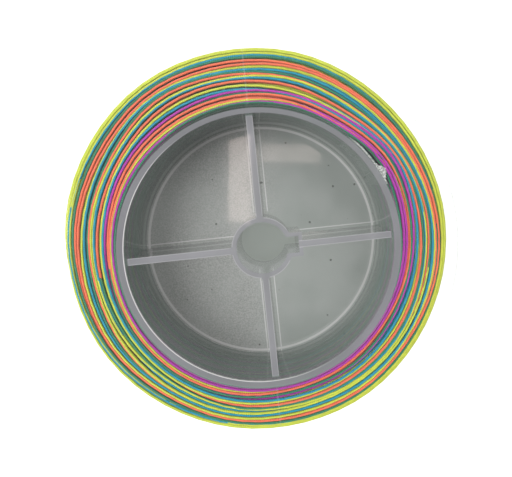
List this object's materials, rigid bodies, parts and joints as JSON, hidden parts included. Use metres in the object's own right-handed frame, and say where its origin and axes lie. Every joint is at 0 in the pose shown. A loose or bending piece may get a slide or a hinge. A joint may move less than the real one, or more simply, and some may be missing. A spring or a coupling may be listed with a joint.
{
  "type": "spool of kite line",
  "caption": "Clear moulded spool with a keyed hub, four ribs and two flanges, cross-wound with five-colour braided kite line whose inner end is taped to the drum.",
  "frame": {"origin": "on the bore's axis, in the spool's closed back face, on which it stands", "axes": "+Z along the bore towards the drum's open end; the keyway and the first rib point 6.2 degrees from +X towards +Y"},
  "size_m": [0.1064, 0.1064, 0.0216],
  "materials": {
    "clear_plastic": "gloss",
    "braided_line": "satin",
    "clear_tape": "satin"
  },
  "bodies": {
    "root": {"spool": "clear_plastic", "line_winding": "braided_line", "anchor_tape": "clear_tape"}
  },
  "joints": []
}
